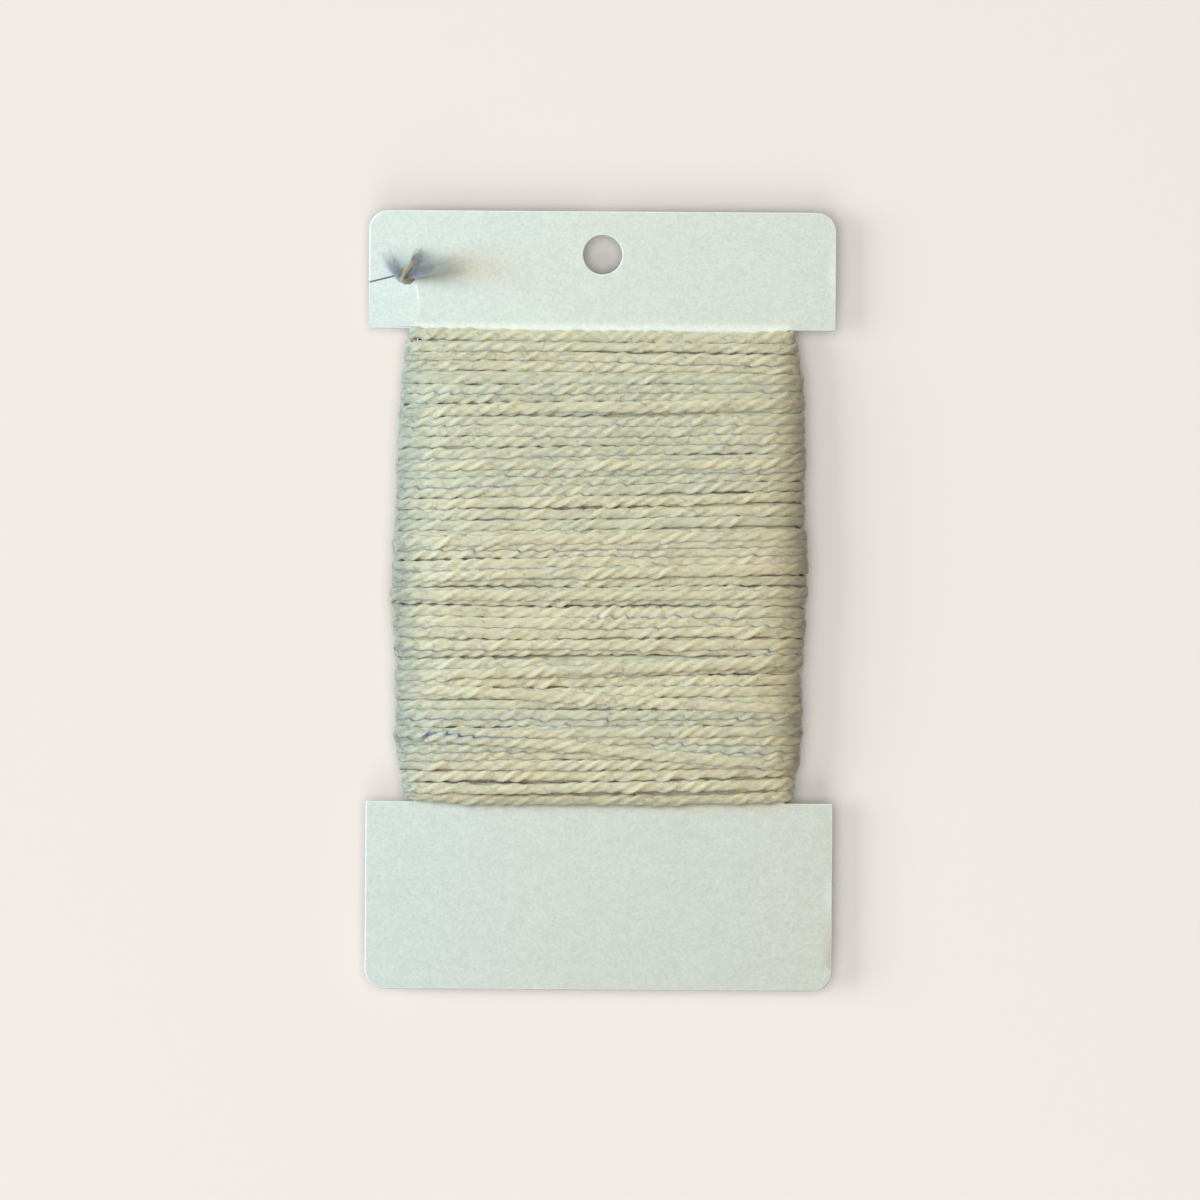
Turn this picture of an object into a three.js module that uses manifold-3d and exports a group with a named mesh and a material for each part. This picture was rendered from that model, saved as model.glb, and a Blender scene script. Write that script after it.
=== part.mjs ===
// Needlepoint thread wound on a flat card. The card is die-cut board in the shape of an H, with a
// hang hole in its head. The thread is wound round its waist in three layers that thin out towards
// the head and the foot. Its last turn crosses the back of the head, comes through a slit in the
// card's left edge and ends in a short stub on the face.
//
// Millimetres. X runs across the card, Y up the card and Z out of its face. The card lies on its
// back, so the turns behind it rest on the plane z = 0. The origin is there, below the card's centre.

import * as THREE from "three";
import { mergeVertices } from "three/addons/utils/BufferGeometryUtils.js";
import Module from "manifold-3d";

const wasm = await Module();
wasm.setup();

// The gap that every piece keeps to its neighbour.
const CLEARANCE = 0.3;

const CARD = {
  width: 76.2,
  height: 127,
  thickness: 0.6,
  back: 3.3, // height of the card's back face above the plane it rests on
  cornerRadius: 3.2,
  cornerSteps: 6,
};
// The two side notches that leave the waist. Their edges are measured up from the card's centre.
const NOTCH = { depth: 7.9, top: 44.2, bottom: -32.9 };
const HANG_HOLE = { diameter: 6.35, belowTop: 7.1, sides: 32 };
// The slit runs in from the left edge to the crease, and its lips part round the thread, which
// slants through it.
const SLIT = { y: 52.1, width: 0.35, eyeX: -32, eyeLength: 3.5, eyeWidth: 2.1, eyeSides: 10 };
// The tab below the slit is pushed back a little, about a crease above the waist's edge.
const TAB = { tiltDegrees: 3 };

const THREAD = { diameter: 1.4, tailSides: 8, tailSteps: 80 };

const waistHalf = CARD.width / 2 - NOTCH.depth;
const cardMid = CARD.back + CARD.thickness / 2;
const cardFront = CARD.back + CARD.thickness;

// The outer shape of the winding: how far the turns reach from the centre line to each side, and
// how far they stand out from the card's face and its back.
const WINDING_SHAPE = [
  { y: -33.1, left: 31.5, right: 31.5, face: 1.7, back: 1.6 },
  { y: -31.2, left: 31.7, right: 31.7, face: 2.5, back: 2.2 },
  { y: -28.0, left: 32.4, right: 31.8, face: 3.4, back: 3.0 },
  { y: -24.5, left: 33.0, right: 32.5, face: 4.0, back: 3.5 },
  { y: -17.0, left: 33.2, right: 32.8, face: 4.4, back: 3.7 },
  { y: -9.0, left: 33.4, right: 32.8, face: 4.7, back: 3.7 },
  { y: -5.0, left: 33.8, right: 33.2, face: 4.8, back: 3.7 },
  { y: -0.5, left: 34.2, right: 33.4, face: 4.9, back: 3.7 },
  { y: 6.0, left: 33.9, right: 33.6, face: 4.9, back: 3.7 },
  { y: 14.0, left: 33.5, right: 33.1, face: 4.8, back: 3.7 },
  { y: 24.0, left: 33.2, right: 33.1, face: 4.5, back: 3.7 },
  { y: 31.0, left: 32.8, right: 33.0, face: 4.0, back: 3.5 },
  { y: 37.0, left: 32.5, right: 32.5, face: 3.3, back: 2.9 },
  { y: 41.0, left: 31.9, right: 31.9, face: 2.5, back: 2.2 },
  { y: 43.9, left: 31.5, right: 31.5, face: 1.7, back: 1.6 },
];

// The turns of the outer layer, from the head down, in bands that part from one another. Each row
// ends a band: the number of turns in it, where its lower edge lies at the left and right side of
// the card, and how deep the groove there is.
const BANDS = [
  { turns: 2, left: 40.4, right: 40.2, groove: 0.6 },
  { turns: 2, left: 37.0, right: 36.6, groove: 0.6 },
  { turns: 2, left: 33.6, right: 34.4, groove: 0.7 },
  { turns: 4, left: 26.3, right: 27.3, groove: 0.5 },
  { turns: 3, left: 21.1, right: 22.5, groove: 0.7 },
  { turns: 3, left: 16.3, right: 17.8, groove: 0.5 },
  { turns: 5, left: 7.8, right: 8.7, groove: 0.6 },
  { turns: 2, left: 4.8, right: 6.4, groove: 0.9 },
  { turns: 4, left: -1.0, right: -1.1, groove: 0.8 },
  { turns: 3, left: -6.4, right: -6.3, groove: 0.5 },
  { turns: 2, left: -9.6, right: -8.9, groove: 0.8 },
  { turns: 2, left: -13.2, right: -11.4, groove: 0.8 },
  { turns: 2, left: -16.6, right: -15.7, groove: 0.5 },
  { turns: 3, left: -20.9, right: -20.6, groove: 0.6 },
  { turns: 2, left: -23.6, right: -23.0, groove: 0.9 },
  { turns: 2, left: -26.2, right: -25.8, groove: 0.8 },
  { turns: 2, left: -29.7, right: -28.2, groove: 0.7 },
  { turns: 2, left: -32.6, right: -32.6, groove: 0.3 },
];
const WINDING_TOP = 43.9;
// Between two turns of one band.
const TURN_GROOVE = 0.45;
// At the winding's ends a single layer is left on the card, so its grooves are shallow.
const END_GROOVE = 0.2;
const END_TURNS = 2;
// Where a turn's two crest lines lie, as shares of its width.
const CREST_LINES = [0.28, 0.72];
// Every turn beds into the layer below by up to this much.
const SETTLE = 0.16;
// The last turns hang a little over the foot of the card between the two sides, on the face only.
const FOOT_SAG = 1.1;
const FOOT_SAG_REACH = 7;
// The ring's section is a superellipse with these powers, drawn in this many points.
const RING = { points: 28, acrossPower: 0.34, outPower: 0.95 };

// The route of the thread's free end, from the last turn across the back of the head, through the
// slit and up into the stub on the face.
const TAIL_ROUTE = [
  [29.0, 44.95, 2.3],
  [22.0, 45.75, 2.3],
  [14.0, 46.65, 2.3],
  [6.0, 47.55, 2.3],
  [-2.0, 48.45, 2.3],
  [-10.0, 49.35, 2.3],
  [-18.0, 50.25, 2.3],
  [-24.5, 51.0, 2.3],
  [-28.2, 51.45, 2.35],
  [-30.2, 51.72, 2.65],
  [-31.6, 51.95, 3.25],
  [-32.5, 52.2, 4.1],
  [-32.8, 52.55, 5.0],
  [-32.5, 53.1, 5.85],
  [-31.8, 53.95, 6.5],
  [-30.8, 55.0, 6.95],
  [-29.6, 56.15, 7.3],
];

// A three.js geometry as a manifold-3d solid, from its positions alone.
function toSolid(geometry) {
  const bare = geometry.index ? geometry.toNonIndexed() : geometry.clone();
  bare.deleteAttribute("normal");
  bare.deleteAttribute("uv");
  const merged = mergeVertices(bare, 1e-4);
  return new wasm.Manifold(
    new wasm.Mesh({
      numProp: 3,
      vertProperties: merged.attributes.position.array,
      triVerts: new Uint32Array(merged.index.array),
    }),
  );
}

// A manifold-3d solid as a three.js geometry.
function toGeometry(solid) {
  const mesh = solid.getMesh();
  return new THREE.BufferGeometry()
    .setAttribute("position", new THREE.BufferAttribute(new Float32Array(mesh.vertProperties), 3))
    .setIndex(new THREE.BufferAttribute(new Uint32Array(mesh.triVerts), 1));
}

function extrudeFrom(shape, z, height, curveSegments) {
  const geometry = new THREE.ExtrudeGeometry(shape, {
    depth: height,
    bevelEnabled: false,
    curveSegments,
  });
  return geometry.translate(0, 0, z);
}

function disc(x, y, radius, z, height, sides) {
  const shape = new THREE.Shape();
  shape.absarc(x, y, radius, 0, 2 * Math.PI, false);
  return extrudeFrom(shape, z, height, sides);
}

// The H outline with round outer corners and square notches.
function cardOutline() {
  const x = CARD.width / 2;
  const y = CARD.height / 2;
  const r = CARD.cornerRadius;
  const quarter = Math.PI / 2;
  const shape = new THREE.Shape();
  shape.absarc(x - r, y - r, r, 0, quarter, false);
  shape.absarc(-x + r, y - r, r, quarter, 2 * quarter, false);
  shape.lineTo(-x, NOTCH.top);
  shape.lineTo(-waistHalf, NOTCH.top);
  shape.lineTo(-waistHalf, NOTCH.bottom);
  shape.lineTo(-x, NOTCH.bottom);
  shape.absarc(-x + r, -y + r, r, 2 * quarter, 3 * quarter, false);
  shape.absarc(x - r, -y + r, r, 3 * quarter, 4 * quarter, false);
  shape.lineTo(x, NOTCH.bottom);
  shape.lineTo(waistHalf, NOTCH.bottom);
  shape.lineTo(waistHalf, NOTCH.top);
  shape.lineTo(x, NOTCH.top);
  shape.closePath();
  return shape;
}

// The eye of the slit: a slot along it with round ends.
function eyeOutline() {
  const radius = SLIT.eyeWidth / 2;
  const reach = SLIT.eyeLength / 2 - radius;
  const quarter = Math.PI / 2;
  const shape = new THREE.Shape();
  shape.absarc(SLIT.eyeX + reach, SLIT.y, radius, -quarter, quarter, false);
  shape.absarc(SLIT.eyeX - reach, SLIT.y, radius, quarter, 3 * quarter, false);
  shape.closePath();
  return shape;
}

// The board that lies left of the crease and below the slit.
function tabBlock() {
  const low = NOTCH.top - 1;
  const shape = new THREE.Shape();
  shape.moveTo(-CARD.width, low);
  shape.lineTo(-waistHalf, low);
  shape.lineTo(-waistHalf, SLIT.y);
  shape.lineTo(-CARD.width, SLIT.y);
  shape.closePath();
  return toSolid(extrudeFrom(shape, 0, 2 * cardFront, 1));
}

// The tab's points sink towards its free edge, in proportion to their distance from the crease.
function pushTabBack(tab) {
  const fall = Math.tan(THREE.MathUtils.degToRad(TAB.tiltDegrees));
  const geometry = toGeometry(tab);
  const position = geometry.attributes.position;
  for (let i = 0; i < position.count; i++) {
    const fromCrease = -waistHalf - position.getX(i);
    position.setZ(i, position.getZ(i) - Math.max(0, fromCrease) * fall);
  }
  return toSolid(geometry);
}

function makeCard() {
  const blank = toSolid(extrudeFrom(cardOutline(), CARD.back, CARD.thickness, CARD.cornerSteps));
  const holeY = CARD.height / 2 - HANG_HOLE.belowTop;
  const hangHole = toSolid(disc(0, holeY, HANG_HOLE.diameter / 2, 0, 2 * cardFront, HANG_HOLE.sides));
  const eye = toSolid(extrudeFrom(eyeOutline(), 0, 2 * cardFront, SLIT.eyeSides));
  const cut = new THREE.BoxGeometry(NOTCH.depth, SLIT.width, 4 * cardFront);
  cut.translate(-CARD.width / 2 + NOTCH.depth / 2, SLIT.y, 0);
  const board = blank.subtract(hangHole).subtract(eye).subtract(toSolid(cut));
  const block = tabBlock();
  const tab = pushTabBack(board.intersect(block));
  return toGeometry(board.subtract(block).add(tab));
}

// The winding's shape at a height, eased between the rows of its table.
const shapeColumns = ["left", "right", "face", "back"];
const shapeCurve = new THREE.CubicInterpolant(
  WINDING_SHAPE.map((row) => row.y),
  WINDING_SHAPE.flatMap((row) => shapeColumns.map((column) => row[column])),
  shapeColumns.length,
);
function windingShape(y) {
  const lowest = WINDING_SHAPE[0].y;
  const highest = WINDING_SHAPE[WINDING_SHAPE.length - 1].y;
  const [left, right, face, back] = shapeCurve.evaluate(THREE.MathUtils.clamp(y, lowest, highest));
  return { left, right, face, back };
}

// The lines along which the ring's skin is drawn, from the head down: a groove, two crest lines,
// the next groove and so on. Each has its height at the left and right side and its depth.
function skinLines() {
  const turnCount = BANDS.reduce((sum, band) => sum + band.turns, 0);
  const lines = [{ left: WINDING_TOP, right: WINDING_TOP, depth: END_GROOVE }];
  let from = { left: WINDING_TOP, right: WINDING_TOP };
  let turn = 0;
  for (const band of BANDS) {
    for (let i = 0; i < band.turns; i++) {
      const nearEnd = turn < END_TURNS || turn >= turnCount - END_TURNS;
      const settled = nearEnd ? 0 : SETTLE * (0.5 + 0.5 * Math.sin(2.4 * turn));
      for (const share of [...CREST_LINES, 1]) {
        const along = (i + share) / band.turns;
        const isGroove = share === 1;
        const last = isGroove && i === band.turns - 1;
        const groove = nearEnd ? END_GROOVE : last ? band.groove : TURN_GROOVE;
        lines.push({
          left: THREE.MathUtils.lerp(from.left, band.left, along),
          right: THREE.MathUtils.lerp(from.right, band.right, along),
          depth: isGroove ? groove : settled,
        });
      }
      turn++;
    }
    from = band;
  }
  return lines;
}

// A point of the ring's skin on one line, at an angle round the card: 0 is the right side and a
// quarter turn the face. The section is a superellipse about the card's middle.
function skinPoint(line, angle) {
  const across = Math.sign(Math.cos(angle)) * Math.abs(Math.cos(angle)) ** RING.acrossPower;
  const out = Math.sign(Math.sin(angle)) * Math.abs(Math.sin(angle)) ** RING.outPower;
  const flatY = THREE.MathUtils.lerp(line.left, line.right, (1 + across) / 2);
  const shape = windingShape(flatY);
  const width = (across > 0 ? shape.right : shape.left) - line.depth;
  const height = (out > 0 ? shape.face : shape.back) + CARD.thickness / 2 - line.depth;
  const nearFoot = THREE.MathUtils.smoothstep(FOOT_SAG_REACH + NOTCH.bottom - flatY, 0, FOOT_SAG_REACH);
  const sag = out > 0 ? FOOT_SAG * nearFoot * (1 - across ** 2) * out : 0;
  return new THREE.Vector3(width * across, flatY - sag, Math.max(0, cardMid + height * out));
}

// The point of the slot through the ring, where the card's waist passes, at the same angle.
function slotPoint(y, angle) {
  const halfWidth = waistHalf + CLEARANCE;
  const halfHeight = CARD.thickness / 2 + CLEARANCE;
  const across = Math.sign(Math.cos(angle)) * Math.abs(Math.cos(angle)) ** (RING.acrossPower / 3);
  const out = THREE.MathUtils.clamp(3.6 * Math.sin(angle), -1, 1);
  return new THREE.Vector3(halfWidth * across, y, cardMid + halfHeight * out);
}

// The wound thread as one closed ring: its ribbed skin, the slot and the two ends between them.
function makeWinding() {
  const lines = skinLines();
  const angles = Array.from({ length: RING.points }, (_, i) => (2 * Math.PI * i) / RING.points);
  const loops = [
    ...lines.map((line) => angles.map((angle) => skinPoint(line, angle))),
    angles.map((angle) => slotPoint(NOTCH.bottom + CLEARANCE, angle)),
    angles.map((angle) => slotPoint(WINDING_TOP, angle)),
  ];
  const index = [];
  loops.forEach((_, row) => {
    const here = row * RING.points;
    const next = ((row + 1) % loops.length) * RING.points;
    for (let i = 0; i < RING.points; i++) {
      const j = (i + 1) % RING.points;
      index.push(here + i, here + j, next + i);
      index.push(here + j, next + j, next + i);
    }
  });
  const positions = loops.flat().flatMap((point) => point.toArray());
  return new THREE.BufferGeometry()
    .setAttribute("position", new THREE.Float32BufferAttribute(positions, 3))
    .setIndex(index);
}

// The free end of the thread as one tube along its route.
function makeTail() {
  const route = new THREE.CatmullRomCurve3(
    TAIL_ROUTE.map((point) => new THREE.Vector3(...point)),
    false,
    "centripetal",
  );
  const section = new THREE.Shape();
  for (let i = 0; i < THREAD.tailSides; i++) {
    const angle = (2 * Math.PI * i) / THREAD.tailSides;
    const x = (Math.cos(angle) * THREAD.diameter) / 2;
    const y = (Math.sin(angle) * THREAD.diameter) / 2;
    if (i === 0) section.moveTo(x, y);
    else section.lineTo(x, y);
  }
  section.closePath();
  return new THREE.ExtrudeGeometry(section, {
    steps: THREAD.tailSteps,
    extrudePath: route,
    bevelEnabled: false,
  });
}

const cardBoard = new THREE.MeshStandardMaterial({ color: 0xd8dfd6, roughness: 0.7, metalness: 0 });
const paleThread = new THREE.MeshStandardMaterial({ color: 0xd2d2b4, roughness: 0.85, metalness: 0 });

function piece(name, geometry, material) {
  const mesh = new THREE.Mesh(geometry, material);
  mesh.name = name;
  return mesh;
}

const part = new THREE.Group();
part.add(piece("card", makeCard(), cardBoard));
part.add(piece("winding", makeWinding(), paleThread));
part.add(piece("thread_tail", makeTail(), paleThread));

export default part;
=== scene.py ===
import math

import bpy
import numpy as np
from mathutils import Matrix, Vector
from mathutils.geometry import delaunay_2d_cdt


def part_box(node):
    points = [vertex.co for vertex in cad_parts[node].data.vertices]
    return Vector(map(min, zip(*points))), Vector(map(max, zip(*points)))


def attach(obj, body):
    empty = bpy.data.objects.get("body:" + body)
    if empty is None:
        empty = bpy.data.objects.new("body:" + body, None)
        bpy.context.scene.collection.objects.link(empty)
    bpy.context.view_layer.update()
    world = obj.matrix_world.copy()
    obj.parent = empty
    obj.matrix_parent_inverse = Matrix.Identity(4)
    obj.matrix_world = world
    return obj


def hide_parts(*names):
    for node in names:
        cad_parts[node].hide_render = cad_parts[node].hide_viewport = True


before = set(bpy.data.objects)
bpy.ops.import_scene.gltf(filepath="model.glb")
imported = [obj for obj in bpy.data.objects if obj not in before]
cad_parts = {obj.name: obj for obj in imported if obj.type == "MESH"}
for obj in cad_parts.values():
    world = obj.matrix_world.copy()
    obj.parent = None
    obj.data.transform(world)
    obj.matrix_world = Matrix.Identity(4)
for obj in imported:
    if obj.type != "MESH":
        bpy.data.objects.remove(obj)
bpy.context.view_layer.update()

MM = 0.001
draw = np.random.default_rng(47)

# The view. The camera looks straight down through a long lens, so the card shows square on, turned
# clockwise by a third of a degree, with 196 mm of the surface across the picture.
PICTURE_WIDTH = 0.1962
CAMERA_HEIGHT = 1.5
CARD_TURN = math.radians(0.38)

camera = bpy.data.objects.new("camera", bpy.data.cameras.new("camera"))
camera.location = (-0.0001, 0.0001, CAMERA_HEIGHT)
camera.rotation_euler = (0, 0, CARD_TURN)
camera.data.lens = camera.data.sensor_width * CAMERA_HEIGHT / PICTURE_WIDTH
camera.data.clip_end = 10
bpy.context.scene.collection.objects.link(camera)
bpy.context.scene.camera = camera


# The thread. It is spun from fine soft fibre into three plies, and the plies are twisted together
# with about one uneven turn in eight millimetres. Its own mesh is a tube whose section has three
# soft lobes that turn as it goes along.
PLIES = 3
PLY_DEPTH = 0.14  # how far a ply stands out of the mean radius, as a share of it
PLY_LAY = 8.2 * MM  # the mean length in which the plies go round once
LAY_DRIFT = 0.09  # how far the twist runs ahead or behind, in turns
LAY_DRIFT_LENGTH = 5.5 * MM
PLY_SWELL = 0.14  # how much a ply's thickness wanders along it, as a share
SWELL_LENGTH = 2.4 * MM
ROUTE_SAMPLES = 24  # of a route's curve between two of its points


def bell(reach, spread):
    """A Gaussian of that spread at whole steps, as far as the reach to both sides."""
    return np.exp(-0.5 * (np.arange(-reach, reach + 1) / spread) ** 2)


def drawn_noise(count, spread):
    """A smooth random line of about unit size: white noise blurred by a Gaussian whose width is
    that many samples, and then scaled back to a spread of one."""
    reach = int(3 * spread) + 1
    blur = bell(reach, spread)
    noise = np.convolve(draw.standard_normal(count + 2 * reach), blur, mode="valid")
    return noise / math.sqrt((blur**2).sum())


def smooth_route(points, step):
    """A curve through the points: between two of them it is the cubic whose slope at each is half
    the chord between that point's neighbours. It is resampled at even steps."""
    p = np.asarray(points, float)
    p = np.vstack([2 * p[0] - p[1], p, 2 * p[-1] - p[-2]])
    t = np.linspace(0, 1, ROUTE_SAMPLES, endpoint=False)[:, None]
    a, b, c, d = (p[i : len(p) - 3 + i, None, :] for i in range(4))
    curve = 0.5 * (
        2 * b + (c - a) * t + (2 * a - 5 * b + 4 * c - d) * t**2 + (3 * b - a - 3 * c + d) * t**3
    )
    curve = np.vstack([curve.reshape(-1, 3), p[-2]])
    along = np.concatenate([[0], np.cumsum(np.linalg.norm(np.diff(curve, axis=0), axis=1))])
    even = np.linspace(0, along[-1], max(2, round(along[-1] / step) + 1))
    return np.column_stack([np.interp(even, along, curve[:, i]) for i in range(3)])


def path_frame(centre, outward):
    """Two unit directions across a path: one as near to outward as it can be, and one beside it.
    The path's own direction is the difference of each point's neighbours."""
    ahead = np.gradient(centre, axis=0)
    ahead /= np.linalg.norm(ahead, axis=1)[:, None]
    up = outward - (outward * ahead).sum(1)[:, None] * ahead
    up /= np.linalg.norm(up, axis=1)[:, None]
    return up, np.cross(ahead, up)


def thread_tube(centre, outward, half_width, half_height, start=0.0, sides=12, tone=0.0):
    """A length of plied thread round a path. At each step its skin stands off the middle by a
    circle with one wave for each ply, turned by the path's length over the lay and a drift, and
    stretched to the half width beside the path and the half height outwards. The crest of each
    ply also swells and thins by a random line of its own. Returns the points and faces, with the
    millimetres along and round the thread at each corner, and at each point the depth in the
    valley between two plies from 0 to 1, the tone and the share of painted shade. Sides are a
    number of even ones, or the angles of uneven ones from beside the path outwards."""
    centre = np.asarray(centre, float)
    count = len(centre)
    up, beside = path_frame(centre, np.broadcast_to(outward, centre.shape))
    along = start + np.concatenate(
        [[0], np.cumsum(np.linalg.norm(np.diff(centre, axis=0), axis=1))]
    )
    angle = 2 * np.pi * np.arange(sides) / sides if np.isscalar(sides) else np.asarray(sides)
    sides = len(angle)
    step = max((along[-1] - along[0]) / (count - 1), 1e-6)
    drift = LAY_DRIFT * drawn_noise(count, LAY_DRIFT_LENGTH / step)
    # The angle on the plied section that has come round to each place on the skin.
    on_ply = angle - 2 * np.pi * (along / PLY_LAY + drift)[:, None]
    ply = 2 * np.pi / PLIES
    lean = (on_ply + ply / 2) % ply - ply / 2
    which = np.floor((on_ply + ply / 2) / ply).astype(int) % PLIES
    swell = np.stack([drawn_noise(count, SWELL_LENGTH / step) for _ in range(PLIES)], axis=1)
    own_swell = np.take_along_axis(swell, which, axis=1)
    outline = (1 + PLY_DEPTH * np.cos(PLIES * on_ply)) / (1 + PLY_DEPTH)
    radius = outline * (1 + PLY_SWELL * own_swell * np.cos(lean * PLIES / 2) ** 2)
    wide = (half_width * np.ones(count))[:, None] * radius * np.cos(angle)
    high = (half_height * np.ones(count))[:, None] * radius * np.sin(angle)
    skin = centre[:, None] + wide[..., None] * beside[:, None] + high[..., None] * up[:, None]
    points = np.vstack([skin.reshape(-1, 3), centre[:1], centre[-1:]])
    ring, side = np.meshgrid(np.arange(count - 1), np.arange(sides), indexing="ij")
    ring, side = ring.ravel(), side.ravel()
    after = (side + 1) % sides
    here, ahead = ring * sides, (ring + 1) * sides
    quads = np.stack([here + side, here + after, ahead + after, ahead + side], axis=1)
    k = np.arange(sides)
    beyond = (k + 1) % sides
    last = (count - 1) * sides
    first_cap = np.stack([np.full(sides, count * sides), beyond, k], axis=1)
    last_cap = np.stack([np.full(sides, count * sides + 1), last + k, last + beyond], axis=1)
    round_it = 2 * np.pi * math.sqrt(np.mean(half_width) * np.mean(half_height)) / sides
    corners = ((0, 0), (0, 1), (1, 1), (1, 0))
    quad_uv = np.stack(
        [np.stack([along[ring + i], (side + j) * round_it], axis=1) for i, j in corners], axis=1
    )
    valley = np.concatenate([(np.abs(lean) / (ply / 2)).ravel(), [0, 0]])
    return {
        "points": points,
        "quads": quads,
        "triangles": np.vstack([first_cap, last_cap]),
        "quad_uv": quad_uv / MM,
        "valley": valley,
        "tone": np.full(len(points), tone, float),
        "painted_shade": np.zeros(len(points)),
    }


def thread_piece(name, tubes, material):
    """One mesh of several tubes, with their places along and round the thread as its UV map, and
    their valleys, tones and shares of painted shade as attributes."""
    starts = np.cumsum([0] + [len(t["points"]) for t in tubes])
    points = np.vstack([t["points"] for t in tubes])
    quads = np.vstack([t["quads"] + s for t, s in zip(tubes, starts)])
    triangles = np.vstack([t["triangles"] + s for t, s in zip(tubes, starts)])
    mesh = bpy.data.meshes.new(name)
    mesh.vertices.add(len(points))
    mesh.vertices.foreach_set("co", points.astype(np.float32).ravel())
    corners = np.concatenate([quads.ravel(), triangles.ravel()]).astype(np.int32)
    sizes = np.concatenate([np.full(len(quads), 4), np.full(len(triangles), 3)])
    mesh.loops.add(len(corners))
    mesh.loops.foreach_set("vertex_index", corners)
    mesh.polygons.add(len(sizes))
    mesh.polygons.foreach_set("loop_start", (np.cumsum(sizes) - sizes).astype(np.int32))
    mesh.update(calc_edges=True)
    uv = np.zeros((len(corners), 2), np.float32)
    uv[: 4 * len(quads)] = np.vstack([t["quad_uv"].reshape(-1, 2) for t in tubes])
    mesh.uv_layers.new(name="thread").data.foreach_set("uv", uv.ravel())
    for key in ("valley", "tone", "painted_shade"):
        values = np.concatenate([t[key] for t in tubes]).astype(np.float32)
        mesh.attributes.new(key, "FLOAT", "POINT").data.foreach_set("value", values)
    mesh.shade_smooth()
    mesh.materials.append(material)
    mesh.validate()
    piece = bpy.data.objects.new(name, mesh)
    bpy.context.scene.collection.objects.link(piece)
    return piece


def socket(group, name, side, kind="NodeSocketFloat", value=None):
    """Adds a named input or output to a node group."""
    made = group.interface.new_socket(name=name, in_out=side, socket_type=kind)
    if value is not None:
        made.default_value = value


def wired(tree, kind, inputs=(), **settings):
    """A node of that kind, with each named or numbered input set to a value or linked."""
    node = tree.nodes.new(kind)
    for key, value in settings.items():
        setattr(node, key, value)
    for key, value in dict(inputs).items():
        if isinstance(value, bpy.types.NodeSocket):
            tree.links.new(value, node.inputs[key])
        else:
            node.inputs[key].default_value = value
    return node


def maths(tree, operation, *values):
    """The result of one operation on up to three numbers or sockets. MULTIPLY_ADD is the first by
    the second, plus the third."""
    return wired(tree, "ShaderNodeMath", dict(enumerate(values)), operation=operation).outputs[0]


def mixed(tree, factor, first, second, blend="MIX"):
    """The first colour at a factor of 0, and at 1 the second or its blend with the first."""
    inputs = {"Factor": factor, 6: first, 7: second}
    return wired(tree, "ShaderNodeMix", inputs, data_type="RGBA", blend_type=blend).outputs[2]


FIBRE_STRETCH = (0.14, 1.0, 1.0)  # the scale of the fibre's noise along the thread and round it
TINT_STRETCH = (0.16, 0.05, 1.0)
FINE_FIBRE_SCALE, COARSE_FIBRE_SCALE = 9.0, 2.6  # for each millimetre
FINE_FIBRE_HEIGHT = 0.6  # the share of the coarse fibre's


def spun_fibre_group():
    """Fine fibre that runs along a ply: noise stretched along it, at two sizes, as a height, and
    broad slow noise along the thread as a tint."""
    group = bpy.data.node_groups.new("spun fibre", "ShaderNodeTree")
    socket(group, "Place", "INPUT", "NodeSocketVector")
    socket(group, "Fineness", "INPUT", value=FINE_FIBRE_SCALE)
    socket(group, "Height", "OUTPUT")
    socket(group, "Streak", "OUTPUT")
    socket(group, "Tint", "OUTPUT")
    start = group.nodes.new("NodeGroupInput")
    end = group.nodes.new("NodeGroupOutput")

    def noise(stretch, **values):
        place = {"Vector": start.outputs["Place"], "Scale": stretch}
        stretched = wired(group, "ShaderNodeMapping", place).outputs[0]
        return wired(group, "ShaderNodeTexNoise", {"Vector": stretched, **values}).outputs["Fac"]

    fine = noise(FIBRE_STRETCH, Scale=start.outputs["Fineness"], Detail=3.0, Roughness=0.6)
    coarse = noise(FIBRE_STRETCH, Scale=COARSE_FIBRE_SCALE, Detail=2.0)
    both = maths(group, "MULTIPLY_ADD", fine, FINE_FIBRE_HEIGHT, coarse)
    group.links.new(both, end.inputs["Height"])
    group.links.new(fine, end.inputs["Streak"])
    group.links.new(noise(TINT_STRETCH, Scale=1.0, Detail=2.0), end.inputs["Tint"])
    return group


SPUN_FIBRE = spun_fibre_group()
THREAD_CREAM = (0.785, 0.73, 0.52, 1)
THREAD_CELERY = (0.695, 0.69, 0.515, 1)
# The colour of the painted shade in the valleys between the plies.
THREAD_VALLEY_SHADE = (0.42, 0.385, 0.25, 1)
# The colour of the painted shade on the winding's sides, its last turns over the foot and the tail.
THREAD_PAINTED_SHADE = (0.30, 0.28, 0.19, 1)
TONE_SHARE = 0.55  # how far a turn's own tone moves it from celery to cream
PATCH_RANGE = (0.1, 0.8)  # the tints that are all celery and all cream
STREAK_FROM, STREAK_TO = (0.3, 0.7), (0.86, 1.08)  # the fibre's noise, and the brightness it gives
VALLEY_POWER, VALLEY_SHADE_SHARE = 3.0, 0.22  # how narrow and how dark the painted shade in the valleys between plies is
FIBRE_BUMP_STRENGTH, FIBRE_BUMP = 0.5, 0.1 * MM
THREAD_SOFTNESS = 0.75 * MM  # how far light goes in the fibre
THREAD_SOFTNESS_BY_COLOUR = (1.0, 0.9, 0.55)


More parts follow.
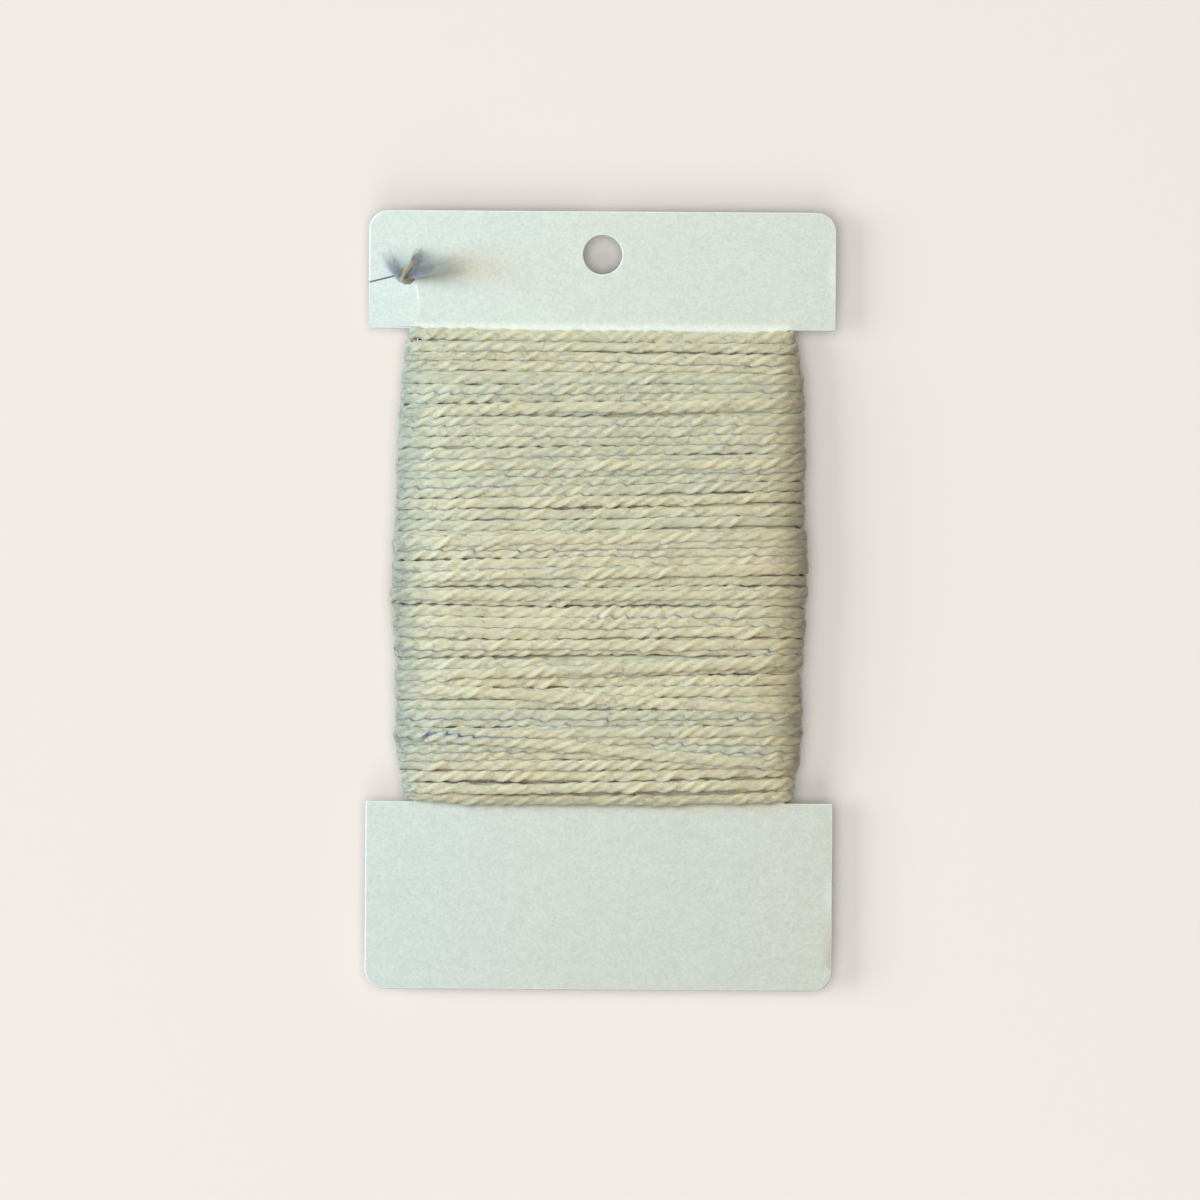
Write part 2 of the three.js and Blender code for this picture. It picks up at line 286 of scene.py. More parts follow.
def thread_material(name, cream, celery, sheen):
    """Pale spun thread: cream and celery in slow patches along it, streaked by its fibre, with
    painted shade between its plies and on the parts that carry painted shade, and roughened by the
    fibre's height."""
    material = bpy.data.materials.new(name)
    material.use_nodes = True
    tree = material.node_tree
    shader = tree.nodes["Principled BSDF"]
    place = wired(tree, "ShaderNodeUVMap", uv_map="thread")
    fibre = wired(tree, "ShaderNodeGroup", node_tree=SPUN_FIBRE)
    tree.links.new(place.outputs[0], fibre.inputs["Place"])
    tone, valley, painted_shade = (
        wired(tree, "ShaderNodeAttribute", attribute_name=key).outputs["Fac"]
        for key in ("tone", "valley", "painted_shade")
    )
    patch = wired(
        tree,
        "ShaderNodeMapRange",
        {
            "Value": maths(tree, "MULTIPLY_ADD", tone, TONE_SHARE, fibre.outputs["Tint"]),
            "From Min": PATCH_RANGE[0],
            "From Max": PATCH_RANGE[1],
        },
        interpolation_type="SMOOTHSTEP",
    )
    streaks = wired(
        tree,
        "ShaderNodeMapRange",
        {
            "Value": fibre.outputs["Streak"],
            "From Min": STREAK_FROM[0],
            "From Max": STREAK_FROM[1],
            "To Min": STREAK_TO[0],
            "To Max": STREAK_TO[1],
        },
    )
    colour = mixed(tree, patch.outputs[0], celery, cream)
    colour = mixed(tree, 1.0, colour, streaks.outputs[0], "MULTIPLY")
    # Painted shade in the valleys between the plies.
    valley_shade = maths(tree, "MULTIPLY", maths(tree, "POWER", valley, VALLEY_POWER), VALLEY_SHADE_SHARE)
    colour = mixed(tree, valley_shade, colour, THREAD_VALLEY_SHADE)
    # Painted shade, as much as each point's attribute gives.
    colour = mixed(tree, painted_shade, colour, THREAD_PAINTED_SHADE)
    bump = wired(
        tree,
        "ShaderNodeBump",
        {
            "Strength": FIBRE_BUMP_STRENGTH,
            "Distance": FIBRE_BUMP,
            "Height": fibre.outputs["Height"],
        },
    )
    tree.links.new(colour, shader.inputs["Base Color"])
    tree.links.new(bump.outputs[0], shader.inputs["Normal"])
    shader.inputs["Roughness"].default_value = 0.72
    shader.inputs["Specular IOR Level"].default_value = 0.3
    shader.inputs["Sheen Weight"].default_value = sheen
    shader.inputs["Sheen Roughness"].default_value = 0.5
    shader.inputs["Subsurface Weight"].default_value = 1.0
    shader.inputs["Subsurface Radius"].default_value = THREAD_SOFTNESS_BY_COLOUR
    shader.inputs["Subsurface Scale"].default_value = THREAD_SOFTNESS
    return material


THREAD = thread_material("pale spun thread", THREAD_CREAM, THREAD_CELERY, 0.25)

# The thread's free end. It comes off the last turn, crosses the back of the card's head, slants
# through the slit and stands up a little on the face, where its plies have come apart.
THREAD_DIAMETER = 1.4 * MM
TAIL_ROUTE = np.array([
    (29.0, 44.95, 2.3),
    (22.0, 45.75, 2.3),
    (14.0, 46.65, 2.3),
    (6.0, 47.55, 2.3),
    (-2.0, 48.45, 2.3),
    (-10.0, 49.35, 2.3),
    (-18.0, 50.25, 2.3),
    (-24.5, 51.0, 2.3),
    (-28.2, 51.45, 2.35),
    (-30.2, 51.72, 2.65),
    (-31.6, 51.95, 3.25),
    (-32.5, 52.2, 4.1),
    (-32.8, 52.55, 5.0),
    (-32.5, 53.1, 5.85),
    (-31.8, 53.95, 6.5),
    (-30.8, 55.0, 6.95),
    (-29.6, 56.15, 7.3),
]) * MM
TAIL_STEP = 0.35 * MM
# The share of painted shade along the whole tail.
TAIL_SHADE = 0.6
TAIL_TONE = 0.3
TAIL_THINNING = 4 * MM  # the length over which the thread thins to half at its end
# The end's colours are greyer than the winding's, bluish grey and brownish: painted shade, for an end
# that stands up in shade.
SHADED_END_BROWN = (0.74, 0.72, 0.62, 1)
SHADED_END_GREY = (0.71, 0.745, 0.72, 1)
SHADED_THREAD_END = thread_material("thread end in painted shade", SHADED_END_BROWN, SHADED_END_GREY, 0.4)

tail_path = smooth_route(TAIL_ROUTE, TAIL_STEP)
tail_length = float(np.linalg.norm(np.diff(tail_path, axis=0), axis=1).sum())
# Towards its end the thread is thinner, because its fibre goes over into the frayed plies.
to_end = tail_length - np.linspace(0, tail_length, len(tail_path))
tail_radius = THREAD_DIAMETER / 2 * (0.5 + 0.5 * np.clip(to_end / TAIL_THINNING, 0, 1) ** 0.7)
# Seen along the route, the side away from the card is down behind the head and left in the slit.
tail_side = np.array([0.25, 0.9, -0.4])
tail_tube = thread_tube(tail_path, tail_side, tail_radius, tail_radius, tone=TAIL_TONE)
# The tail gets painted shade all along.
tail_tube["painted_shade"][:] = TAIL_SHADE
tail = thread_piece("thread_tail_strand", [tail_tube], SHADED_THREAD_END)
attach(tail, "root")
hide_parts("thread_tail")

# The frayed end. Past the slit the three plies splay: one leans back to the left, one goes straight
# on and is cut off square, and one lies over to the right. Each has opened like a small brush.
FRAY_FIBRE_RADIUS = 0.024 * MM
FRAY_TAPER = 0.4  # the share by which a fibre thins to its tip
FRAY_POINTS, FRAY_SIDES = 7, 3
FRAY_ROOT_SPREAD = 0.5 * MM  # the bundle's radius at the root
FRAY_BOW = 0.14  # how far a ply bows up, as a share of its length
FRAY_FLATNESS = 0.6  # the bundle's height as a share of its width
FRAY_STRAY = 0.24  # how far a fibre strays from its place, as a share of the spread
FRAYED_PLIES = [
    {
        "root": (-33.0, 52.5, 4.9), "tip": (-35.0, 55.9, 8.0),
        "fibres": 260, "spread": 1.45, "uneven": 0.25, "tone": -0.9,
    },
    {
        "root": (-31.9, 52.9, 5.4), "tip": (-29.5, 56.3, 7.7),
        "fibres": 380, "spread": 1.2, "uneven": 0.03, "tone": 0.9,
    },
    {
        "root": (-32.0, 52.6, 4.9), "tip": (-24.6, 55.0, 8.6),
        "fibres": 220, "spread": 1.3, "uneven": 0.35, "tone": 0.1,
    },
]


def frayed_ply(row):
    """The fibres of one ply: each follows the same bowed line from root to tip, and moves away from
    it in step with the way along, by its place in a flattened round bundle and at random."""
    t = np.linspace(0, 1, FRAY_POINTS)[:, None]
    root, tip = np.array(row["root"]) * MM, np.array(row["tip"]) * MM
    spread = row["spread"] * MM
    lift = np.array([0, 0, FRAY_BOW]) * np.linalg.norm(tip - root)
    radius = FRAY_FIBRE_RADIUS * (1 - FRAY_TAPER * t[:, 0])
    tubes = []
    for i in range(row["fibres"]):
        ring = math.sqrt((i + 0.5) / row["fibres"])
        turn = i * math.pi * (3 - math.sqrt(5))
        place = np.array([math.cos(turn), math.sin(turn), FRAY_FLATNESS * math.sin(turn + 1.3)]) * ring
        drift = draw.normal(0, FRAY_STRAY, 3) * spread
        reach = 1 + row["uneven"] * draw.uniform(-1.2, 0.5)
        line = root + (tip - root) * t * reach + lift * np.sin(np.pi * t)
        line = line + place * (FRAY_ROOT_SPREAD + (spread - FRAY_ROOT_SPREAD) * t) + drift * t
        tubes.append(
            thread_tube(line, (0.1, 0.2, 1.0), radius, radius, sides=FRAY_SIDES, tone=row["tone"])
        )
    return tubes


fray = thread_piece(
    "frayed_end", [tube for row in FRAYED_PLIES for tube in frayed_ply(row)], SHADED_THREAD_END
)
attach(fray, "root")


# The card. It is die-cut from smooth white board, 0.6 mm thick, as an H with round outer corners, a
# round hang hole and a slit. The tab below the slit has been bent back along a crease, which is a
# low ridge with a pale mark: partly cracked coating and partly a painted highlight.
card_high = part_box("card")[1]
CARD_FACE = card_high.z
CARD_THICKNESS = 0.6 * MM
CARD_HALF_WIDTH = card_high.x
CARD_HALF_HEIGHT = card_high.y
CORNER_RADIUS = 3.2 * MM
WAIST_HALF = 30.2 * MM
NOTCH_TOP = 44.2 * MM
NOTCH_BOTTOM = -32.9 * MM
HOLE_CENTRE = (0.0, CARD_HALF_HEIGHT - 7.1 * MM)
HOLE_RADIUS = 3.175 * MM
# The slit's lips from the card's edge to its inner end. They part where the thread passes.
SLIT_UPPER = np.array([
    (-38.1, 51.72), (-36, 52.27), (-33.9, 52.82), (-33.2, 52.95),
    (-32.3, 53.0), (-31.3, 52.75), (-30.6, 52.15),
]) * MM
SLIT_LOWER = np.array([
    (-38.1, 51.67), (-36, 52.22), (-33.9, 52.72), (-33.2, 51.85),
    (-32.3, 51.4), (-31.3, 51.4), (-30.6, 52.15),
]) * MM
SLIT_STRAIGHT = 4.4 * MM  # the length of it over which its lips still meet
CREASE_FOOT = -29.85 * MM  # the crease is straight below and leans out to the left by the slit
CREASE_LEAN = 0.65 * MM
CREASE_BEND, CREASE_BEND_LENGTH = 48 * MM, 4 * MM  # where it starts to lean, and over what length
CREASE_TOP = 52.3 * MM
CREASE_FADE_FROM, CREASE_FADE = 1.5 * MM, 3 * MM  # above the notch, where it starts to show
CREASE_WIDTH = 0.14 * MM
CREASE_RISE = 0.02 * MM
TAB_TILT = math.tan(math.radians(3))
BOARD_WAVE = 0.03 * MM  # how far the board is from flat, and the lengths of its waves
BOARD_WAVE_LENGTHS = (21 * MM, 26 * MM)
CORNER_STEPS, HOLE_STEPS = 10, 48
CARD_GRID = 1.6 * MM
GRID_OFF_EDGE, GRID_OFF_CREASE = 0.7 * MM, 0.6 * MM  # the room that the even grid leaves
CREASE_NET = np.linspace(-0.3, 0.3, 7) * MM  # the lines of the net beside the crease
CREASE_NET_SPAN, CREASE_NET_STEPS = (NOTCH_TOP + 0.2 * MM, 51.2 * MM), 30
EDGE_BEVEL = 0.2 * MM
BEVEL_ANGLE = math.radians(50)


def arc(centre, radius, start, end, steps):
    """Points along an arc, with the angles in degrees."""
    a = np.radians(np.linspace(start, end, steps + 1))
    return np.column_stack([centre[0] + radius * np.cos(a), centre[1] + radius * np.sin(a)])


def card_outline():
    """The H, anticlockwise from its lower right corner, with the slit's two lips in its left edge."""
    w, h, r = CARD_HALF_WIDTH, CARD_HALF_HEIGHT, CORNER_RADIUS
    return np.vstack([
        arc((w - r, -h + r), r, -90, 0, CORNER_STEPS),
        [(w, NOTCH_BOTTOM), (WAIST_HALF, NOTCH_BOTTOM), (WAIST_HALF, NOTCH_TOP), (w, NOTCH_TOP)],
        arc((w - r, h - r), r, 0, 90, CORNER_STEPS),
        arc((-w + r, h - r), r, 90, 180, CORNER_STEPS),
        SLIT_UPPER,
        SLIT_LOWER[-2::-1],
        [(-w, NOTCH_TOP), (-WAIST_HALF, NOTCH_TOP), (-WAIST_HALF, NOTCH_BOTTOM), (-w, NOTCH_BOTTOM)],
        arc((-w + r, -h + r), r, 180, 270, CORNER_STEPS),
    ])


def inside(points, outline):
    """Whether each point lies in a closed outline: a line from it to the right crosses the outline
    an odd number of times."""
    x, y = points[:, :1], points[:, 1:]
    ax, ay = outline[:, 0], outline[:, 1]
    bx, by = np.roll(ax, -1), np.roll(ay, -1)
    spans = (ay > y) != (by > y)
    with np.errstate(divide="ignore", invalid="ignore"):
        crossing = ax + (y - ay) * (bx - ax) / (by - ay)
    return (spans & (x < crossing)).sum(1) % 2 == 1


def crease_line(y):
    """Where the crease lies across the card, at a height up it."""
    bent = np.clip((y - CREASE_BEND) / CREASE_BEND_LENGTH, 0, 1)
    return CREASE_FOOT - CREASE_LEAN * bent**1.3


def board_height(x, y):
    """How far the face lies from its plane, and the share of the crease's pale mark, which is cracked
    coating and a painted highlight. The tab left of the crease falls away below the slit, the crease is
    a low ridge, and the board is not quite flat."""
    slit_y = np.interp(x, SLIT_LOWER[:, 0], (SLIT_LOWER[:, 1] + SLIT_UPPER[:, 1]) / 2)
    left_of_it = crease_line(y) - x
    on_tab = (y < slit_y) & (y > NOTCH_TOP - 1e-6)
    fall = np.where(on_tab, np.maximum(0, left_of_it) * TAB_TILT, 0)
    by_crease = np.exp(-0.5 * (left_of_it / CREASE_WIDTH) ** 2)
    along = np.clip((y - NOTCH_TOP - CREASE_FADE_FROM) / CREASE_FADE, 0, 1) * (y < CREASE_TOP)
    wave = BOARD_WAVE * np.sin(x / BOARD_WAVE_LENGTHS[0]) * np.cos(y / BOARD_WAVE_LENGTHS[1])
    return wave - fall + CREASE_RISE * by_crease * along, by_crease * along


def board_piece(name, materials):
    """The card's face as a net of triangles between its outline, its hole, lines along the crease
    and an even grid, raised by board_height, and thickened and rounded by modifiers."""
    outline = card_outline()
    hole = arc(HOLE_CENTRE, HOLE_RADIUS, 0, 360, HOLE_STEPS)[:-1]
    up_crease = np.linspace(*CREASE_NET_SPAN, CREASE_NET_STEPS)
    crease = [np.column_stack([crease_line(up_crease) + d, up_crease]) for d in CREASE_NET]
    gx = np.arange(-CARD_HALF_WIDTH + CARD_GRID / 2, CARD_HALF_WIDTH, CARD_GRID)
    gy = np.arange(-CARD_HALF_HEIGHT + CARD_GRID / 2, CARD_HALF_HEIGHT, CARD_GRID)
    grid = np.stack(np.meshgrid(gx, gy), axis=-1).reshape(-1, 2)
    edges = np.vstack([outline, hole])
    apart = np.linalg.norm(grid[:, None] - edges[None], axis=2).min(1)
    far_off = np.abs(grid[:, 0] - crease_line(grid[:, 1])) > GRID_OFF_CREASE
    in_card = inside(grid, outline) & (np.hypot(*(grid - HOLE_CENTRE).T) > HOLE_RADIUS)
    grid = grid[in_card & (apart > GRID_OFF_EDGE) & far_off]
    points = np.vstack([outline, hole, *crease, grid])
    loops = []
    start = 0
    for ring in (outline, hole):
        loops += [(start + i, start + (i + 1) % len(ring)) for i in range(len(ring))]
        start += len(ring)
    net = delaunay_2d_cdt([Vector(p) / MM for p in points], loops, [], 0, 1e-5)
    flat = np.array([tuple(v) for v in net[0]]) * MM
    triangles = np.array(net[2])
    middle = flat[triangles].mean(1)
    keep = inside(middle, outline) & (np.hypot(*(middle - HOLE_CENTRE).T) > HOLE_RADIUS * 0.999)
    triangles = triangles[keep]
    rise, crease_mask = board_height(flat[:, 0], flat[:, 1])
    used = np.unique(triangles)
    renumber = np.full(len(flat), -1)
    renumber[used] = np.arange(len(used))
    triangles = renumber[triangles]
    flat, rise, crease_mask = flat[used], rise[used], crease_mask[used]
    a, b, c = (flat[triangles[:, i]] for i in range(3))
    area = (b[:, 0] - a[:, 0]) * (c[:, 1] - a[:, 1]) - (b[:, 1] - a[:, 1]) * (c[:, 0] - a[:, 0])
    triangles[area < 0] = triangles[area < 0][:, ::-1]
    mesh = bpy.data.meshes.new(name)
    mesh.from_pydata(np.column_stack([flat, CARD_FACE + rise]).tolist(), [], triangles.tolist())
    crease_mark = mesh.attributes.new("crease", "FLOAT", "POINT")
    crease_mark.data.foreach_set("value", crease_mask.astype(np.float32))
    for material in materials:
        mesh.materials.append(material)
    mesh.shade_smooth()
    piece = bpy.data.objects.new(name, mesh)
    bpy.context.scene.collection.objects.link(piece)
    thick = piece.modifiers.new("board", "SOLIDIFY")
    thick.thickness = CARD_THICKNESS
    thick.offset = -1
    thick.material_offset_rim = 1
    rounding = piece.modifiers.new("rounded edge", "BEVEL")
    rounding.width = EDGE_BEVEL
    rounding.segments = 2
    rounding.limit_method = "ANGLE"
    rounding.angle_limit = BEVEL_ANGLE
    rounding.harden_normals = True
    rounding.material = 1
    return piece


MOTTLE_SCALE, GRAIN_SCALE = 380.0, 1900.0  # for each metre


def paper_grain_group():
    """The skin of calendered board: a soft mottle a few millimetres across, and a fine grain of
    fibre, both as a factor for the colour and a height for the bump."""
    group = bpy.data.node_groups.new("paper grain", "ShaderNodeTree")
    socket(group, "Mottle", "INPUT", value=0.05)
    socket(group, "Grain", "INPUT", value=0.1)
    socket(group, "Factor", "OUTPUT")
    socket(group, "Height", "OUTPUT")
    start = group.nodes.new("NodeGroupInput")
    end = group.nodes.new("NodeGroupOutput")
    place = wired(group, "ShaderNodeTexCoord").outputs["Object"]

    def noise(scale, detail):
        values = {"Vector": place, "Scale": scale, "Detail": detail, "Roughness": 0.6}
        return wired(group, "ShaderNodeTexNoise", values).outputs["Fac"]

    mottle, grain = noise(MOTTLE_SCALE, 3.0), noise(GRAIN_SCALE, 2.0)
    mottle_off, grain_off = (maths(group, "SUBTRACT", value, 0.5) for value in (mottle, grain))
    broad = maths(group, "MULTIPLY_ADD", mottle_off, start.outputs["Mottle"], 1.0)
    factor = maths(group, "MULTIPLY_ADD", grain_off, start.outputs["Grain"], broad)
    group.links.new(factor, end.inputs["Factor"])
    group.links.new(maths(group, "MULTIPLY_ADD", mottle, 0.5, grain), end.inputs["Height"])
    return group


PAPER_GRAIN = paper_grain_group()
BOARD_FACE = (0.670, 0.708, 0.632, 1)
# The crease's pale mark: partly cracked coating, partly a painted highlight on its ridge.
BOARD_CRACK_AND_HIGHLIGHT = (0.77, 0.835, 0.78, 1)
BOARD_CUT = (0.79, 0.83, 0.76, 1)
# Painted shade in the slit, where its gap lies in shadow.
BOARD_SLIT_SHADE = (0.13, 0.15, 0.15, 1)
# A painted highlight along the head's lower edge, above the winding.
BOARD_PAINTED_HIGHLIGHT = (0.92, 0.96, 0.86, 1)
# A painted light falloff: the board is drawn darker and warmer towards its lower right, where
# less light falls. The change of its red, green and blue for each metre to the right and upwards, as a
# share.
FALLOFF_RIGHT = (-0.3, -0.7, -1.0)
FALLOFF_UP = (0.65, 0.67, 0.69)
HIGHLIGHT_SHARE, SLIT_SHADE_SHARE = 0.55, 0.95  # how strongly the painted highlight and the slit's painted shade show
HIGHLIGHT_FADE = (0.1 * MM, 1.5 * MM)  # the painted highlight above the head's lower edge, from its full strength to none
SLIT_FADE = (0.08 * MM, 0.20 * MM)  # the slit's painted shade, from the slit's middle line
BOARD_BUMP_STRENGTH, BOARD_BUMP = 0.25, 0.03 * MM


def faded_edge(tree, value, full, none):
    """A factor that falls from 1 to 0 as the value goes from full to none."""
    return wired(
        tree,
        "ShaderNodeMapRange",
        {"Value": value, "From Min": full, "From Max": none, "To Min": 1.0, "To Max": 0.0},
        interpolation_type="SMOOTHSTEP",
    ).outputs[0]


def product(tree, *factors):
    """The product of two or more factors."""
    result = factors[0]
    for factor in factors[1:]:
        result = maths(tree, "MULTIPLY", result, factor)
    return result


def board_material(name, base, roughness, mottle, grain_share):
    """White board with its grain and a painted light falloff towards its lower right, paler along
    the crease where the coating has cracked and as a painted highlight there, with a painted highlight
    along the head's lower edge, and painted shade in the slit."""
    material = bpy.data.materials.new(name)
    material.use_nodes = True
    tree = material.node_tree
    shader = tree.nodes["Principled BSDF"]
    grain = wired(tree, "ShaderNodeGroup", node_tree=PAPER_GRAIN)
    grain.inputs["Mottle"].default_value = mottle
    grain.inputs["Grain"].default_value = grain_share
    # The crease's pale mark: cracked coating and a painted highlight.
    crease = wired(tree, "ShaderNodeAttribute", attribute_name="crease")
    colour = mixed(tree, crease.outputs["Fac"], base, BOARD_CRACK_AND_HIGHLIGHT)
    place = wired(tree, "ShaderNodeTexCoord").outputs["Object"]
    axes = wired(tree, "ShaderNodeSeparateXYZ", {0: place})
    across, up = axes.outputs["X"], axes.outputs["Y"]
    # Painted highlight along the head's lower edge, above the winding.
    painted_highlight = product(
        tree,
        faded_edge(tree, up, NOTCH_TOP + HIGHLIGHT_FADE[0], NOTCH_TOP + HIGHLIGHT_FADE[1]),
        faded_edge(tree, up, NOTCH_TOP, NOTCH_TOP - 0.5 * MM),
        faded_edge(
            tree, maths(tree, "ABSOLUTE", across), WAIST_HALF - 0.5 * MM, WAIST_HALF + 1.0 * MM
        ),
        HIGHLIGHT_SHARE,
    )
    colour = mixed(tree, painted_highlight, colour, BOARD_PAINTED_HIGHLIGHT)
    # Painted shade along the slit.
    by_slit = wired(
        tree,
        "ShaderNodeMapping",
        {
            "Vector": place,
            "Location": (*(SLIT_LOWER[0] + SLIT_UPPER[0]) / 2, 0),
            "Rotation": (0, 0, math.atan2(*(SLIT_LOWER[2] - SLIT_LOWER[0])[::-1])),
        },
        vector_type="TEXTURE",
    )
    slit_axes = wired(tree, "ShaderNodeSeparateXYZ", {0: by_slit.outputs[0]})
    slit_shade = product(
        tree,
        faded_edge(tree, maths(tree, "ABSOLUTE", slit_axes.outputs["Y"]), *SLIT_FADE),
        faded_edge(tree, slit_axes.outputs["X"], SLIT_STRAIGHT, SLIT_STRAIGHT + 0.5 * MM),
        SLIT_SHADE_SHARE,
    )
    colour = mixed(tree, slit_shade, colour, BOARD_SLIT_SHADE)
    # Painted light falloff across the board.
    painted_falloff = (1, 1, 1)
    for axis, change in ((across, FALLOFF_RIGHT), (up, FALLOFF_UP)):
        values = {0: axis, 1: change, 2: painted_falloff}
        painted_falloff = wired(tree, "ShaderNodeVectorMath", values, operation="MULTIPLY_ADD").outputs[0]
    colour = mixed(tree, 1.0, colour, painted_falloff, "MULTIPLY")
    colour = mixed(tree, 1.0, colour, grain.outputs["Factor"], "MULTIPLY")
    bump = wired(
        tree,
        "ShaderNodeBump",
        {"Strength": BOARD_BUMP_STRENGTH, "Distance": BOARD_BUMP, "Height": grain.outputs["Height"]},
    )
    tree.links.new(colour, shader.inputs["Base Color"])
    tree.links.new(bump.outputs[0], shader.inputs["Normal"])
    shader.inputs["Roughness"].default_value = roughness
    shader.inputs["Specular IOR Level"].default_value = 0.3
    return material


card = board_piece(
    "card_board",
    [
        board_material("coated board", BOARD_FACE, roughness=0.55, mottle=0.11, grain_share=0.35),
        board_material("cut board edge", BOARD_CUT, roughness=0.85, mottle=0.05, grain_share=0.2),
    ],
)
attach(card, "root")
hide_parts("card")

# The winding. The thread goes round the card's waist in layers, to the head, back down and up
# again, and the last few turns wander across the others. Each turn is laid in its order on what
# lies there already, under tension, and the whole is pressed into the shape of its CAD solid.
TURN_HALF_WIDTH = 1.0 * MM
TURN_BED_WIDTH = 0.72 * MM  # the half width with which a turn bears on its neighbours
TURN_HALF_HEIGHT = 0.62 * MM
TURN_UNEVENNESS, UNEVENNESS_COLUMNS = 0.05, 40  # of its width and height, as shares
TURN_TONE, TONE_COLUMNS = 0.35, 150
COLUMNS = 312  # the steps of one turn round the card
Y_LOW, Y_HIGH, Y_STEP = -37 * MM, 47 * MM, 0.1 * MM  # the ground that the turns are laid on
BEDDING = 0.16 * MM  # how far a turn sinks into the one below it
TENSION_COLUMNS = 5.0  # the blur of a turn's height along itself, in columns
TENSION_REACH = 15
WANDER = 0.17 * MM  # how far the thread strays up and down the card
WANDER_COLUMNS = 26
SOFTEN_REACH, SOFTEN_COLUMNS = 6, 2.2  # the blur of its height up the card, in columns
CARD_MIDDLE = CARD_FACE - CARD_THICKNESS / 2
# Painted shade on the winding's sides, where they turn down round the card's edges.
EDGE_SHADE, EDGE_SHADE_POWER = 0.75, 1.5
EDGE_SHADE_FROM, EDGE_SHADE_REACH = 27.5 * MM, 5.5 * MM
FOOT_SHADE, FOOT_SHADE_TOP = 0.35, -31.6 * MM  # painted shade on the last turns over the card's foot, below this height
FOOT_SHADE_FADE = 1.2 * MM
EVENNESS_FACE, EVENNESS_SIDE = 0.55, 0.25  # the share of a turn's unevenness that shows
RING_ACROSS, RING_OUT = 0.34, 0.95  # the powers of the winding's section, a superellipse
RING_SIZE = (WAIST_HALF + 3 * MM, 4.8 * MM)  # its mean half width and half height
REACH_WINDOW = 1.3 * MM
# How far the winding reaches behind the card's middle, at heights up the card, in millimetres.
BACK_AT = [-33.1, -28, -24.5, 24, 31, 37, 43.9]
BACK_REACH = [1.9, 3.3, 4.0, 4.0, 3.8, 3.2, 1.9]


def winding_reach():
    """How far the winding reaches from the card's middle, to the left, up from the face, to the
    right and down from the back, at even heights up the card. The first three are the extremes of
    the CAD solid's points within a window, because its skin has grooves."""
    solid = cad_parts["winding"].data
    points = np.zeros(len(solid.vertices) * 3, np.float32)
    solid.vertices.foreach_get("co", points)
    points = points.reshape(-1, 3).astype(float)
    at = np.arange(-33 * MM, 44.1 * MM, 1.0 * MM)
    near = np.abs(points[:, 1] - at[:, None]) < REACH_WINDOW
    x = np.where(near, points[:, 0], 0)
    z = np.where(near, points[:, 2] - CARD_MIDDLE, 0)
    return at, -x.min(1), z.max(1), x.max(1), np.interp(at / MM, BACK_AT, BACK_REACH) * MM


REACH_AT, REACH_LEFT, REACH_FACE, REACH_RIGHT, REACH_BACK = winding_reach()


# The columns of the ring, as places across and out on the winding's section at unit size. They run
# from the middle of the back by the left side, the face and the right side to the back again, in
# even steps along the skin, and on the flat of the back in steps that are twice as long.
BACK_STEP = 2.0
share = np.linspace(0, 1, 2001)
quarter = np.vstack([
    np.column_stack([share, (1 - share ** (2 / RING_ACROSS)) ** (RING_OUT / 2)]),
    np.column_stack([(1 - share ** (2 / RING_OUT)) ** (RING_ACROSS / 2), share]),
])
quarter = quarter[np.lexsort((-quarter[:, 1], quarter[:, 0]))]
half = np.vstack([quarter * (-1, -1), quarter[::-1] * (-1, 1)])
whole = np.vstack([half, half[::-1] * (-1, 1)])
whole_run = np.hypot(*np.diff(whole * RING_SIZE, axis=0).T)
whole_run = np.concatenate([[0], np.cumsum(whole_run)])
finely = np.interp((whole[:-1, 1] + whole[1:, 1]) / 2, [-0.95, -0.8], [1 / BACK_STEP, 1])
finely = np.concatenate([[0], np.cumsum(np.diff(whole_run) * finely)])
column_run = np.interp(np.arange(COLUMNS) / COLUMNS * finely[-1], finely, whole_run)
ACROSS = np.interp(column_run, whole_run, whole[:, 0])
OUT = np.interp(column_run, whole_run, whole[:, 1])
ON_FACE = OUT > 0


def ring_rays(y):
    """For whole turns of columns at their heights up the card: the nearest point of the card's own
    section, and the step from there to the winding's skin."""
    across = np.tile(ACROSS, len(y) // COLUMNS)
    out = np.tile(OUT, len(y) // COLUMNS)
    wide = np.where(across > 0, np.interp(y, REACH_AT, REACH_RIGHT), np.interp(y, REACH_AT, REACH_LEFT))
    high = np.where(out > 0, np.interp(y, REACH_AT, REACH_FACE), np.interp(y, REACH_AT, REACH_BACK))
    skin_x, skin_z = wide * across, high * out
    base_x = np.clip(skin_x, -WAIST_HALF, WAIST_HALF)
    base_z = np.clip(skin_z, -CARD_THICKNESS / 2, CARD_THICKNESS / 2)
    return base_x, base_z, skin_x - base_x, skin_z - base_z


